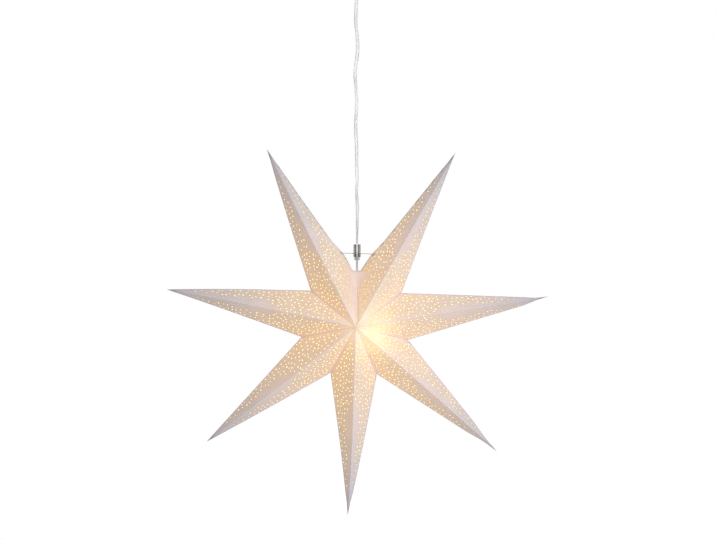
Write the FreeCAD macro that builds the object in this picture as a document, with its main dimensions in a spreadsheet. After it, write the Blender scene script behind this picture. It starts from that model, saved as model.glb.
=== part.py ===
import FreeCAD, Part
import math
import os
import Sketcher
from FreeCAD import Placement, Rotation, Vector

# Hanging paper star with seven folded points.  Millimetres, +Z up, the front of the star faces -Y.
# The origin is where the cord's axis meets the ceiling; everything hangs below it.

document = FreeCAD.newDocument("paper_star_pendant")
sheet = document.addObject("Spreadsheet::Sheet", "sizes")

DRIVING_SIZES = {
    # ceiling fitting
    "canopy_radius": 40,
    "canopy_height": 52,
    "canopy_wall": 1.6,
    "canopy_edge": 1,
    "strap_width": 16,
    "strap_thickness": 2,
    "strap_leg": 12,
    "ceiling_hole_spacing": 50,
    "ceiling_hole_radius": 2.25,
    "side_screw_radius": 1.5,
    "side_screw_depth": 8,
    "small_clearance": 0.1,
    "block_width": 20,
    "block_depth": 11,
    "block_height": 13,
    "terminal_spacing": 10,
    "gland_radius": 8,
    "gland_height": 12,
    "gland_thread_radius": 5,
    "gland_nut_height": 4,
    "gland_nut_corner": 8.1,
    "gland_screw_radius": 2,
    # flat twin cord
    "cord_width": 6,
    "cord_thickness": 3.8,
    "cord_clearance": 0.15,
    # cord grip
    "bar_drop": 523,
    "grip_radius": 6.35,
    "barrel_height": 14.7,
    "grip_edge": 0.8,
    "waist_radius": 4.2,
    "waist_height": 3.2,
    "collar_height": 4.8,
    "bush_height": 6,
    "bush_radius": 5.4,
    "bush_tip_radius": 4.3,
    # crossbar
    "wire_radius": 1.2,
    "ring_clearance": 0.3,
    "bar_reach": 42,
    "bar_hole_radius": 1.5,
    # paper star
    "star_radius": 350,
    "valley_radius": 99.5,
    "star_half_depth": 75,
    "paper": 0.4,
    "arm_step": 49.6,
    "top_arm_step": 52.2,
    "free_half_angle": 24.6,
    "bar_height": 127,
    "star_roll": 1.6,
    "flap_width": 10,
    "flap_setback": 9,
    "tab_top": 95,
    "tab_bottom": 63,
    "closing_flap_start": 8,
    "closing_flap_top": 60,
    "closing_flap_reach": 3.3,
    "tab_left_edge": 11.5,
    "tab_left_fold": 8.6,
    "tab_right_fold": 12,
    "tab_right_edge": 21,
    # lampholder, measured down from its top above the hub
    "holder_rise": 72,
    "holder_radius": 14,
    "holder_wall": 1.4,
    "holder_cap_height": 18,
    "holder_neck_radius": 7.5,
    "holder_neck_height": 6,
    "holder_sleeve_height": 38,
    "core_disc": 4,
    "core_wall": 2,
    "core_height": 27,
    "shell_wall": 0.4,
    "contact_radius": 3,
    "contact_height": 3,
    # bulb
    "bulb_radius": 12.5,
    "bulb_drop": 30,
    "bulb_shoulder": 9,
    "bulb_glass_wall": 0.8,
    "bulb_cap_radius": 6.92,
    "bulb_cap_length": 23,
    "bulb_cap_wall": 0.3,
    "bulb_fit": 0.08,
    "bulb_neck_radius": 7.4,
    "insulator_height": 1.3,
    "insulator_radius": 5,
    "tip_contact_radius": 2.4,
    "tip_contact_height": 0.6,
    "contact_gap": 0.2,
    "stem_radius": 3.2,
    "stem_length": 26,
}

for row, (alias, amount) in enumerate(DRIVING_SIZES.items(), start=1):
    sheet.set("A%d" % row, alias.replace("_", " "))
    sheet.set("B%d" % row, str(amount))
    sheet.setAlias("B%d" % row, alias)
document.recompute()

sub_parts = []


def amount_of(alias):
    """One driving size as a plain number."""
    return float(sheet.get(alias))


def bound(text):
    """Put the sheet's name before every alias in an expression."""
    words = []
    word = ""
    for letter in text + " ":
        if letter.isalnum() or letter in "_.":
            word += letter
            continue
        words.append("sizes." + word if word in DRIVING_SIZES else word)
        words.append(letter)
        word = ""
    return "".join(words).strip()


def named(item, label):
    """Give a finished sub-part its node name and keep it for writing."""
    item.Label = label
    sub_parts.append(item)
    return item


def solid(kind, name, **expressions):
    """A primitive whose sizes and place are all expressions of the sheet."""
    item = document.addObject(kind, name)
    for size_name, expression in expressions.items():
        item.setExpression(size_name.replace("__", "."), bound(expression))
    return item


def turned_along_y(item):
    item.Placement = Placement(Vector(), Rotation(Vector(1, 0, 0), -90))
    return item


def turned_along_x(item):
    item.Placement = Placement(Vector(), Rotation(Vector(0, 1, 0), 90))
    return item


def placed(item, **expressions):
    for size_name, expression in expressions.items():
        item.setExpression("Placement.Base." + size_name, bound(expression))
    return item


def joined(name, pieces):
    item = document.addObject("Part::MultiFuse", name)
    item.Shapes = pieces
    return item


def cut(name, base, tool):
    item = document.addObject("Part::Cut", name)
    item.Base = base
    item.Tool = tool
    return item


def origin_plane(body, role):
    return [feature for feature in body.Origin.OriginFeatures if feature.Role == role][0]


def outline(body, name, role, corners):
    """A closed sketch whose corners are pairs of expressions."""
    sketch = body.newObject("Sketcher::SketchObject", name)
    sketch.AttachmentSupport = [(origin_plane(body, role), "")]
    sketch.MapMode = "FlatFace"
    count = len(corners)
    rough = [Vector(math.cos(i), math.sin(i), 0) for i in range(count)]
    for i in range(count):
        sketch.addGeometry(Part.LineSegment(rough[i], rough[(i + 1) % count]))
    for i in range(count):
        sketch.addConstraint(Sketcher.Constraint("Coincident", i, 2, (i + 1) % count, 1))
    for i, (across, up) in enumerate(corners):
        for direction, start, text in (("DistanceX", rough[i].x, across), ("DistanceY", rough[i].y, up)):
            index = sketch.addConstraint(Sketcher.Constraint(direction, -1, 1, i, 1, start))
            sketch.setExpression("Constraints[%d]" % index, bound(text))
    return sketch


def turned(label, bottom, corners):
    """A piece turned about the cord's axis; corners are (radius, height above its bottom)."""
    body = document.addObject("PartDesign::Body", label)
    profile = outline(body, label + "_profile", "XZ_Plane", corners)
    document.recompute()
    revolution = body.newObject("PartDesign::Revolution", label + "_turning")
    revolution.Profile = profile
    revolution.ReferenceAxis = (profile, ["V_Axis"])
    revolution.Angle = 360
    body.setExpression("Placement.Base.z", bound(bottom))
    document.recompute()
    return body


def drilled(body, name, radius, length, axis, **place):
    """A round hole through a body, along the given axis."""
    hole = body.newObject("PartDesign::SubtractiveCylinder", name)
    turn = {"x": Rotation(Vector(0, 1, 0), 90), "y": Rotation(Vector(1, 0, 0), -90)}.get(axis, Rotation())
    hole.AttachmentSupport = [(origin_plane(body, "XY_Plane"), "")]
    hole.MapMode = "FlatFace"
    hole.AttachmentOffset = Placement(Vector(), turn)
    hole.setExpression("Radius", bound(radius))
    hole.setExpression("Height", bound(length))
    for side, text in place.items():
        hole.setExpression("AttachmentOffset.Base." + side, bound(text))
    document.recompute()
    return hole


# ---------------------------------------------------------------- ceiling fitting

def ceiling_strap():
    """Steel strip with two legs bent down; the canopy's side screws go into the legs."""
    body = document.addObject("PartDesign::Body", "ceiling_strap")
    half = "(sqrt((canopy_radius - canopy_wall)^2 - (strap_width / 2)^2) - small_clearance * 3)"
    corners = [
        ("-" + half, "0"),
        (half, "0"),
        (half, "-strap_leg"),
        (half + " - strap_thickness", "-strap_leg"),
        (half + " - strap_thickness", "-strap_thickness"),
        ("strap_thickness - " + half, "-strap_thickness"),
        ("strap_thickness - " + half, "-strap_leg"),
        ("-" + half, "-strap_leg"),
    ]
    profile = outline(body, "strap_profile", "XZ_Plane", corners)
    document.recompute()
    pad = body.newObject("PartDesign::Pad", "strap_pad")
    pad.Profile = profile
    pad.Midplane = True
    pad.setExpression("Length", bound("strap_width"))
    document.recompute()
    for sign, side in (("-", "left"), ("", "right")):
        drilled(body, side + "_ceiling_hole", "ceiling_hole_radius", "strap_thickness * 2", "z",
                x=sign + "ceiling_hole_spacing / 2", z="-strap_thickness * 1.5")
    drilled(body, "leg_holes", "side_screw_radius + small_clearance / 2", "canopy_radius * 2", "x",
            x="-canopy_radius", z="-side_screw_depth")
    named(body, "ceiling_strap")


def canopy():
    """Spun cup that covers the strap; its floor holds the cord gland."""
    body = turned("canopy", "-canopy_height", [
        ("gland_thread_radius + small_clearance", "0"),
        ("canopy_radius - canopy_edge", "0"),
        ("canopy_radius", "canopy_edge"),
        ("canopy_radius", "canopy_height"),
        ("canopy_radius - canopy_wall", "canopy_height"),
        ("canopy_radius - canopy_wall", "canopy_wall"),
        ("gland_thread_radius + small_clearance", "canopy_wall"),
    ])
    drilled(body, "side_holes", "side_screw_radius + small_clearance", "canopy_radius * 3", "x",
            x="-canopy_radius * 1.5", z="canopy_height - side_screw_depth")
    named(body, "canopy")


def canopy_screws():
    """Two side screws that hold the canopy to the strap's legs."""
    pieces = []
    for sign, side in (("-", "left"), ("", "right")):
        shank = solid("Part::Cylinder", side + "_side_shank", Radius="side_screw_radius",
                      Height="canopy_wall + strap_thickness * 2")
        head = solid("Part::Cylinder", side + "_side_head", Radius="side_screw_radius * 2",
                     Height="side_screw_radius")
        inner = "canopy_radius - canopy_wall - strap_thickness * 2"
        outer = "canopy_radius"
        if sign:
            inner = "-canopy_radius"
            outer = "-canopy_radius - side_screw_radius"
        placed(turned_along_x(shank), x=inner, z="-side_screw_depth")
        placed(turned_along_x(head), x=outer, z="-side_screw_depth")
        pieces += [shank, head]
    named(joined("canopy_screw_pair", pieces), "canopy_screws")


def terminal_block():
    """Two-way block under the strap, its two screw wells open to the front."""
    block = solid("Part::Box", "block_blank", Length="block_width", Width="block_depth",
                  Height="block_height")
    placed(block, x="-block_width / 2", y="-block_depth / 2", z="-strap_thickness - block_height")
    wells = []
    screws = []
    for sign, side in (("-", "left"), ("", "right")):
        level = "-strap_thickness - block_height / 2"
        well = solid("Part::Cylinder", side + "_well", Radius="terminal_spacing * 0.22",
                     Height="block_depth * 0.45")
        placed(turned_along_y(well), x=sign + "terminal_spacing / 2", y="-block_depth / 2", z=level)
        wells.append(well)
        screw = solid("Part::Cylinder", side + "_terminal_screw",
                      Radius="terminal_spacing * 0.22 - small_clearance", Height="block_depth * 0.3")
        placed(turned_along_y(screw), x=sign + "terminal_spacing / 2",
               y="-block_depth * 0.35", z=level)
        screws.append(screw)
    named(cut("block_with_wells", block, joined("terminal_wells", wells)), "terminal_block")
    named(joined("terminal_screw_pair", screws), "terminal_screws")


def gland():
    """Threaded tube with a clamping flange below the canopy, a nut inside and a grub screw behind."""
    bore = "cord_width / 2 + cord_clearance"
    body = turned("gland_body", "-canopy_height - gland_height", [
        (bore, "0"),
        ("gland_radius", "0"),
        ("gland_radius", "gland_height"),
        ("gland_thread_radius", "gland_height"),
        ("gland_thread_radius", "gland_height + canopy_wall + gland_nut_height * 1.5"),
        (bore, "gland_height + canopy_wall + gland_nut_height * 1.5"),
    ])
    drilled(body, "gland_screw_hole", "gland_screw_radius + small_clearance / 2", "gland_radius", "y",
            y="0", z="gland_height / 2")
    named(body, "gland_body")
    blank = solid("Part::Prism", "gland_nut_blank", Circumradius="gland_nut_corner",
                  Height="gland_nut_height")
    blank.Polygon = 6
    placed(blank, z="canopy_wall - canopy_height")
    hole = solid("Part::Cylinder", "gland_nut_hole", Radius="gland_thread_radius + small_clearance / 2",
                 Height="gland_nut_height * 2")
    placed(hole, z="canopy_wall - canopy_height - gland_nut_height / 2")
    named(cut("gland_nut_cut", blank, hole), "gland_nut")
    screw = solid("Part::Cylinder", "gland_grub_screw", Radius="gland_screw_radius",
                  Height="gland_radius - cord_thickness / 2")
    placed(turned_along_y(screw), y="cord_thickness / 2", z="-canopy_height - gland_height / 2")
    named(screw, "gland_screw")


# ---------------------------------------------------------------- flat twin cord

def flat_cord(label, across, top, length):
    """A taut straight run of the flat twin cord: two round cores side by side with a web between."""
    core = "cord_thickness / 2"
    offset = "(cord_width - cord_thickness) / 2"
    pieces = []
    for sign in ("-", ""):
        cylinder = solid("Part::Cylinder", label + "_core", Radius=core, Height=length)
        placed(cylinder, **{across: sign + offset, "z": "%s - (%s)" % (top, length)})
        pieces.append(cylinder)
    sides = {"x": ("Length", "Width"), "y": ("Width", "Length")}[across]
    web = solid("Part::Box", label + "_web", Height=length,
                **{sides[0]: "cord_width - cord_thickness", sides[1]: "cord_thickness"})
    other = {"x": "y", "y": "x"}[across]
    placed(web, **{across: "-" + offset, other: "-cord_thickness / 2", "z": "%s - (%s)" % (top, length)})
    pieces.append(web)
    fused = joined(label + "_run", pieces)
    fused.Refine = True
    named(fused, label)


# ---------------------------------------------------------------- cord grip and crossbar

def cord_grip():
    """Barrel with a turned waist, a ring nut and a clear bush; the crossbar's ring turns on the waist."""
    bore = "cord_width / 2 + cord_clearance"
    spigot = "(collar_height + waist_height)"
    barrel = turned("grip_barrel", "-bar_drop - waist_height / 2 - collar_height", [
        (bore, "0"),
        ("waist_radius", "0"),
        ("waist_radius", spigot),
        ("grip_radius", spigot),
        ("grip_radius", spigot + " + barrel_height - grip_edge"),
        ("grip_radius - grip_edge", spigot + " + barrel_height"),
        (bore, spigot + " + barrel_height"),
    ])
    named(barrel, "grip_barrel")
    collar = turned("grip_collar", "-bar_drop - waist_height / 2 - collar_height", [
        ("waist_radius + small_clearance / 2", "0"),
        ("grip_radius", "0"),
        ("grip_radius", "collar_height"),
        ("waist_radius + small_clearance / 2", "collar_height"),
    ])
    named(collar, "grip_collar")
    bush = turned("grip_bush", "-bar_drop - waist_height / 2 - collar_height - bush_height", [
        (bore, "0"),
        ("bush_tip_radius", "0"),
        ("bush_radius", "bush_height * 0.6"),
        ("bush_radius", "bush_height"),
        (bore, "bush_height"),
    ])
    named(bush, "grip_bush")


def crossbar():
    """Wire bar with a flat ring in the middle; its two ends lie inside the upper arms.

    It is drawn level about its own centre and then leans with the star.
    """
    ring = "(waist_radius + ring_clearance + wire_radius)"
    disc = solid("Part::Cylinder", "bar_ring_disc", Radius=ring + " + wire_radius",
                 Height="wire_radius * 2")
    eye = solid("Part::Cylinder", "bar_ring_eye", Radius="waist_radius + ring_clearance",
                Height="wire_radius * 4")
    placed(disc, z="-wire_radius")
    placed(eye, z="-wire_radius * 2")
    pieces = [cut("bar_ring", disc, eye)]
    for side, start in (("right", ring), ("left", "-bar_reach")):
        straight = solid("Part::Cylinder", side + "_bar", Radius="wire_radius",
                         Height="bar_reach - " + ring)
        pieces.append(placed(turned_along_x(straight), x=start))
    bar = joined("bar_with_ring", pieces)
    bar.Placement = Placement(Vector(), Rotation(Vector(0, 1, 0), amount_of("star_roll")))
    bar.setExpression("Placement.Rotation.Angle", bound("star_roll"))
    placed(bar, z="-bar_drop")
    named(bar, "crossbar")


# ---------------------------------------------------------------- paper star
# The star is folded about its hub and drawn with the crossbar at its origin, then leans about it.

def direction(angle):
    """Unit vector in the star's plane, the angle counted from +X towards +Z."""
    return Vector(math.cos(math.radians(angle)), 0, math.sin(math.radians(angle)))


def straight_down():
    return -90.0


def arm_directions():
    """Seven arm directions; the two that meet at the top seam are splayed a little wider."""
    step = amount_of("arm_step")
    top_step = amount_of("top_arm_step")
    lower = [straight_down() + step * turn for turn in (-2, -1, 0, 1, 2)]
    return [lower[0] - top_step] + lower + [lower[-1] + top_step]


def hub():
    return Vector(0, 0, -amount_of("bar_height"))


def peak(side):
    """Front (-1) or rear (+1) point where all the ridges meet."""
    return hub() + Vector(0, side * amount_of("star_half_depth"), 0)


def flat_solid(corners, thickness):
    """A flat sheet of paper with the given corners and its thickness as a vector."""
    return Part.Face(Part.makePolygon(corners + [corners[0]])).extrude(thickness)


def closed_solid(faces):
    shell = Part.makeShell([Part.Face(Part.makePolygon(list(face) + [face[0]])) for face in faces])
    result = Part.makeSolid(shell)
    if result.Volume < 0:
        result.reverse()
    return result


def glue_flap(top, valley, towards, thickness):
    """A tapered flap along the valley fold from a peak to the valley's outer end."""
    width = amount_of("flap_width")
    setback = amount_of("flap_setback")
    fold = (valley - top).normalize()
    length = top.distanceToPoint(valley)
    inward = towards - top
    inward = (inward - fold * inward.dot(fold)).normalize()
    corners = [
        top + fold * setback,
        top + fold * (length - setback / 2),
        top + fold * (length - setback / 2 - width) + inward * width,
        top + fold * (setback + width) + inward * width,
    ]
    return flat_solid(corners, thickness)


def folded_arm(angle, left_angle, right_angle, left_flaps, right_flaps):
    """One point of the star: four panels folded from one sheet, open towards the hub."""
    paper = amount_of("paper")
    tip = hub() + direction(angle) * amount_of("star_radius")
    left = hub() + direction(left_angle) * amount_of("valley_radius")
    right = hub() + direction(right_angle) * amount_of("valley_radius")
    front = peak(-1)
    rear = peak(1)
    envelope = closed_solid([
        (front, left, tip), (front, tip, right), (rear, tip, left), (rear, right, tip),
        (front, rear, left), (front, right, rear),
    ])
    sheets = []
    for top, side in ((front, -1), (rear, 1)):
        for valley in (left, right):
            normal = (tip - top).cross(valley - top).normalize()
            sheets.append(flat_solid([top, valley, tip], Vector(0, -side * paper / abs(normal.y), 0)))
    for valley, flaps in ((left, left_flaps), (right, right_flaps)):
        if not flaps:
            continue
        across = (valley - hub()).cross(Vector(0, 1, 0)).normalize()
        if across.dot(tip - valley) < 0:
            across = across * -1
        for top in (front, rear):
            sheets.append(glue_flap(top, valley, hub(), across * paper))
    arm = sheets[0].multiFuse(sheets[1:]).common(envelope)
    return arm.removeSplitter()


def bar_hole():
    """Round hole for the crossbar, on its axis, through the two inner creases."""
    reach = amount_of("bar_reach") * 2
    return Part.makeCylinder(amount_of("bar_hole_radius"), reach, Vector(-reach / 2, 0, 0), Vector(1, 0, 0))


def valley_between(first, second):
    return (first + second) / 2


def hang(item):
    """Lean the paper about the crossbar's centre and hang it from the cord grip."""
    item.Placement = Placement(Vector(0, 0, -amount_of("bar_drop")),
                               Rotation(Vector(0, 1, 0), amount_of("star_roll")))


def end_panel_slopes():
    """How far the top arms' inner panels rise towards the front per mm sideways and fall per mm up."""
    angle = arm_directions()[-1]
    free = amount_of("free_half_angle")
    valley = direction(angle + free) * amount_of("valley_radius")
    tip = direction(angle) * amount_of("star_radius")
    depth = amount_of("star_half_depth")
    twice_area = abs(valley.x) * tip.z - abs(tip.x) * valley.z
    sideways = depth * (valley.z - tip.z) / twice_area
    upward = depth * (abs(valley.x) - abs(tip.x)) / twice_area
    return sideways, upward


def closing_flap(side):
    """Narrow flap in the plane of the first arm's end panel, reaching across most of the top seam."""
    sideways, upward = end_panel_slopes()
    angle = arm_directions()[0] - amount_of("free_half_angle")
    lean = math.cos(math.radians(angle)) / math.sin(math.radians(angle))
    reach = amount_of("closing_flap_reach") / amount_of("closing_flap_top")
    overlap = amount_of("paper")

    def in_plane(across, up):
        depth = amount_of("star_half_depth") - sideways * across - upward * up
        return hub() + Vector(across, side * depth, up)

    bottom = amount_of("closing_flap_start")
    top = amount_of("closing_flap_top")
    corners = [
        in_plane(lean * bottom - overlap, bottom), in_plane(lean * top - overlap, top),
        in_plane(reach * top, top), in_plane(reach * bottom, bottom),
    ]
    thickness = amount_of("paper") * math.sqrt(1 + sideways ** 2 + upward ** 2)
    return flat_solid(corners, Vector(0, -side * thickness, 0))


def paper_arms():
    directions = arm_directions()
    free = amount_of("free_half_angle")
    last = len(directions) - 1
    for number, angle in enumerate(directions):
        is_first = number == 0
        is_last = number == last
        low = angle - free if is_first else valley_between(directions[number - 1], angle)
        high = angle + free if is_last else valley_between(angle, directions[number + 1])
        shape = folded_arm(angle, high, low, not is_last, not is_first)
        if is_first:
            shape = shape.multiFuse([closing_flap(-1), closing_flap(1)]).removeSplitter()
        if is_first or is_last:
            shape = shape.cut(bar_hole())
        arm = document.addObject("Part::Feature", "arm_%d" % (number + 1))
        arm.Shape = shape.Solids[0]
        hang(arm)
        named(arm, "arm_%d" % (number + 1))


def closure_tab(label, side):
    """Plain tab over the top seam: a bridge between two folds and a glued wing on each arm."""
    sideways, upward = end_panel_slopes()
    level = hub().z
    thickness = amount_of("paper") * math.sqrt(1 + sideways ** 2 + upward ** 2)
    folds = [-amount_of("tab_left_edge"), -amount_of("tab_left_fold"),
             amount_of("tab_right_fold"), amount_of("tab_right_edge")]

    def on_panel(across, up):
        depth = amount_of("star_half_depth") + sideways * abs(across) - upward * up
        return Vector(across, side * depth, level + up)

    top = amount_of("tab_top")
    bottom = amount_of("tab_bottom")
    strips = []
    for start, end in zip(folds, folds[1:]):
        corners = [on_panel(start, bottom), on_panel(start, top), on_panel(end, top), on_panel(end, bottom)]
        strips.append(flat_solid(corners, Vector(0, side * thickness, 0)))
    tab = document.addObject("Part::Feature", label)
    tab.Shape = strips[0].multiFuse(strips[1:]).removeSplitter().Solids[0]
    hang(tab)
    named(tab, label)


# ---------------------------------------------------------------- lampholder and bulb

HOLDER_TOP = "(holder_rise - bar_drop - bar_height)"
SLEEVE_TOP = "(" + HOLDER_TOP + " - holder_cap_height)"
SHELL_OUTER = "(bulb_cap_radius + bulb_fit + shell_wall)"
DOME_STEPS = 3
CONTACT_LEVEL = "(" + SLEEVE_TOP + " - core_disc - contact_height)"


def lampholder():
    """Small screw lampholder: cap with the cord's entry, sleeve, insulating core, shell and contact."""
    bore = "cord_width / 2 + cord_clearance"
    cap = turned("holder_cap", SLEEVE_TOP, [
        ("holder_radius - holder_wall", "0"),
        ("holder_radius", "0"),
        ("holder_radius", "holder_cap_height - holder_neck_height"),
        ("holder_neck_radius", "holder_cap_height - holder_neck_height"),
        ("holder_neck_radius", "holder_cap_height"),
        (bore, "holder_cap_height"),
        (bore, "holder_cap_height - holder_neck_height - holder_wall"),
        ("holder_radius - holder_wall", "holder_cap_height - holder_neck_height - holder_wall"),
    ])
    named(cap, "holder_cap")
    sleeve = turned("holder_sleeve", SLEEVE_TOP + " - holder_sleeve_height", [
        ("holder_radius - holder_wall", "0"),
        ("holder_radius", "0"),
        ("holder_radius", "holder_sleeve_height"),
        ("holder_radius - holder_wall", "holder_sleeve_height"),
    ])
    named(sleeve, "holder_sleeve")
    inner = SHELL_OUTER + " + small_clearance / 2"
    core = turned("holder_core", SLEEVE_TOP + " - core_height", [
        (inner, "0"),
        (inner + " + core_wall", "0"),
        (inner + " + core_wall", "core_height - core_disc"),
        ("holder_radius - holder_wall - small_clearance / 2", "core_height - core_disc"),
        ("holder_radius - holder_wall - small_clearance / 2", "core_height"),
        ("0", "core_height"),
        ("0", "core_height - core_disc"),
        (inner, "core_height - core_disc"),
    ])
    named(core, "holder_core")
    shell = turned("holder_shell", SLEEVE_TOP + " - core_height", [
        (SHELL_OUTER + " - shell_wall", "0"),
        (SHELL_OUTER, "0"),
        (SHELL_OUTER, "core_height - core_disc"),
        (SHELL_OUTER + " - shell_wall", "core_height - core_disc"),
    ])
    named(shell, "holder_shell")
    contact = solid("Part::Cylinder", "holder_contact_disc", Radius="contact_radius",
                    Height="contact_height")
    placed(contact, z=CONTACT_LEVEL)
    named(contact, "holder_contact")


def glass_side(radius, neck_radius, floor, rise, steps):
    """Corners of the bulb's side, from its lowest point round the domed end and up to the neck."""
    corners = []
    for step in range(steps + 1):
        angle = 90 * step / steps
        corners.append(("(%s) * sin(%.1f deg)" % (radius, angle),
                        "%s + (%s) * (1 - cos(%.1f deg))" % (floor, radius, angle)))
    corners.append((radius, rise + " - bulb_shoulder"))
    corners.append((neck_radius, rise))
    return corners


def bulb():
    """Small tubular bulb with its screw cap, insulator, tip contact and inner stem."""
    tip = CONTACT_LEVEL + " - contact_gap - tip_contact_height"
    cap_bottom = "(" + tip + " - insulator_height - bulb_cap_length)"
    contact = turned("bulb_tip_contact", tip, [
        ("0", "0"),
        ("tip_contact_radius", "0"),
        ("tip_contact_radius", "tip_contact_height"),
        ("0", "tip_contact_height"),
    ])
    named(contact, "bulb_tip_contact")
    insulator = turned("bulb_insulator", tip + " - insulator_height", [
        ("0", "0"),
        ("insulator_radius", "0"),
        ("insulator_radius", "insulator_height"),
        ("0", "insulator_height"),
    ])
    named(insulator, "bulb_insulator")
    cap = turned("bulb_screw_cap", cap_bottom, [
        ("bulb_cap_radius - bulb_cap_wall", "0"),
        ("bulb_cap_radius", "0"),
        ("bulb_cap_radius", "bulb_cap_length"),
        ("0", "bulb_cap_length"),
        ("0", "bulb_cap_length - bulb_cap_wall"),
        ("bulb_cap_radius - bulb_cap_wall", "bulb_cap_length - bulb_cap_wall"),
    ])
    named(cap, "bulb_screw_cap")
    end = "(-bar_drop - bar_height - bulb_drop)"
    rise = "(" + cap_bottom + " - " + end + ")"
    stem = turned("bulb_stem", cap_bottom + " - stem_length", [
        ("0", "0"),
        ("stem_radius", "0"),
        ("stem_radius", "stem_length - bulb_glass_wall"),
        ("bulb_neck_radius - bulb_glass_wall", "stem_length - bulb_glass_wall"),
        ("bulb_neck_radius - bulb_glass_wall", "stem_length"),
        ("0", "stem_length"),
    ])
    named(stem, "bulb_stem")
    outside = glass_side("bulb_radius", "bulb_neck_radius", "0", rise, DOME_STEPS)
    inside = glass_side("bulb_radius - bulb_glass_wall", "bulb_neck_radius - bulb_glass_wall",
                        "bulb_glass_wall", rise, DOME_STEPS - 1)
    named(turned("bulb_glass", end, outside + inside[::-1]), "bulb_glass")


ceiling_strap()
canopy()
canopy_screws()
terminal_block()
gland()
CORD_JOINT = "(-bar_drop - waist_height / 2)"
CORD_TOP = "(-strap_thickness - block_height)"
flat_cord("cord_upper", "x", CORD_TOP, CORD_TOP + " - " + CORD_JOINT)
flat_cord("cord_lower", "y", CORD_JOINT, CORD_JOINT + " - " + SLEEVE_TOP)
cord_grip()
crossbar()
paper_arms()
closure_tab("front_closure_tab", -1)
closure_tab("rear_closure_tab", 1)
lampholder()
bulb()
document.recompute()

# ---------------------------------------------------------------- checks and files

for item in document.Objects:
    if "Invalid" in item.State or "Error" in item.State:
        raise RuntimeError("%s failed: %s" % (item.Name, item.State))

for item in sub_parts:
    if item.Shape.isNull() or not item.Shape.isValid() or item.Shape.Volume <= 0:
        raise RuntimeError("%s has no valid shape" % item.Label)

for item in sub_parts:
    if item.Label.startswith("cord_"):
        thickness = amount_of("cord_thickness")
        width = amount_of("cord_width")
        section = math.pi * thickness ** 2 / 4 + (width - thickness) * thickness
        length = item.Shape.BoundBox.ZLength
        share = item.Shape.Volume / (section * length)
        print("%s: one straight run of %.1f mm, volume / (section x length) = %.4f"
              % (item.Label, length, share))

os.makedirs("parts", exist_ok=True)
for item in sub_parts:
    item.Shape.exportStep("parts/%s.step" % item.Label)
    box = item.Shape.BoundBox
    print("%-20s solids %d  volume %9.1f  z %8.2f .. %8.2f"
          % (item.Label, len(item.Shape.Solids), item.Shape.Volume, box.ZMin, box.ZMax))
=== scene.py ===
import math
import random

import bmesh
import bpy
from mathutils import Matrix, Vector
from mathutils.geometry import delaunay_2d_cdt


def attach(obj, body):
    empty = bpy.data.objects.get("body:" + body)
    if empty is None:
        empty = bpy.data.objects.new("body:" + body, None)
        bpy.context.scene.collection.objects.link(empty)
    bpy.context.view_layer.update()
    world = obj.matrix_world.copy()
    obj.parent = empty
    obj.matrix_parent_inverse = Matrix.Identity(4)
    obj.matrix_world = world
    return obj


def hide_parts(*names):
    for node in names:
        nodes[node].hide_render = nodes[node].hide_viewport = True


# A hanging folded paper star, lit from inside.  Metres, -Y is the front.

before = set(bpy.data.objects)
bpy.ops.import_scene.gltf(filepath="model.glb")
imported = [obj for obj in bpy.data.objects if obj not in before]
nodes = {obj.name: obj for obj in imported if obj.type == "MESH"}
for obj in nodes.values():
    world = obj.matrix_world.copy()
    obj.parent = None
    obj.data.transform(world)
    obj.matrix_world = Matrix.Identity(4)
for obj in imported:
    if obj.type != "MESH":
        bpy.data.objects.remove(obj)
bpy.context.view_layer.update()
MM = 0.001
bpy.context.scene.view_settings.view_transform = "Standard"

# Sizes that the solids hold too: the paper is folded here again, with its perforations.
BAR_DROP = 523 * MM
BAR_HEIGHT = 127 * MM
STAR_RADIUS = 350 * MM
VALLEY_RADIUS = 99.5 * MM
HALF_DEPTH = 75 * MM
PAPER = 0.4 * MM
ARM_STEP = 49.6
TOP_ARM_STEP = 52.2
FREE_HALF_ANGLE = 24.6
STAR_ROLL = 1.6
FLAP_WIDTH = 10 * MM
FLAP_SETBACK = 9 * MM

# The star's own frame: the middle of its arms at the origin, the top seam above it.
HUB = (Matrix.Translation((0, 0, -BAR_DROP)) @ Matrix.Rotation(math.radians(STAR_ROLL), 4, "Y")
       @ Matrix.Translation((0, 0, -BAR_HEIGHT)))
HUB_PLACE = HUB @ Vector()


# ---------------------------------------------------------------- camera

IMAGE_WIDTH = 716
FOCAL_PIXELS = 1006
SENSOR_WIDTH = 36
CAMERA_PLACE = Vector((1.7, -1801, -438.6)) * MM
CAMERA_PITCH = 3.64


def make_camera():
    data = bpy.data.cameras.new("photo_camera")
    data.sensor_width = SENSOR_WIDTH
    data.lens = SENSOR_WIDTH * FOCAL_PIXELS / IMAGE_WIDTH
    camera = bpy.data.objects.new("photo_camera", data)
    camera.location = CAMERA_PLACE
    camera.rotation_euler = (math.radians(90 - CAMERA_PITCH), 0, 0)
    bpy.context.scene.collection.objects.link(camera)
    bpy.context.scene.camera = camera


# ---------------------------------------------------------------- materials

# How finely the noise of each surface is grained.
MOTTLING_SCALE = 38
GRAIN_SCALE = 60
STREAK_SCALE = 160
FROST_SCALE = 400
MOULDING_SCALE = 700
FIBRE_SCALE = 900
# How deep its bumps are.
SOFT_BUMP = 0.2 * MM
PAPER_BUMP = 0.4 * MM
# How much darker a surface's darker shade is, and how far a metal's roughness varies.
METAL_SHADE = 0.86
MOULDING_SHADE = 0.95
CLEAR_SHADE = 0.93
ROUGHNESS_SPREAD = (0.8, 1.25)
# Where the noise turns from the darker to the lighter shade.
MOTTLING_STOPS = (0.35, 0.65)
WEAR_STOPS = (0.3, 0.7)


def new_material(name):
    material = bpy.data.materials.new(name)
    material.use_nodes = True
    tree = material.node_tree
    shader = tree.nodes["Principled BSDF"]
    return material, tree, shader


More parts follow.
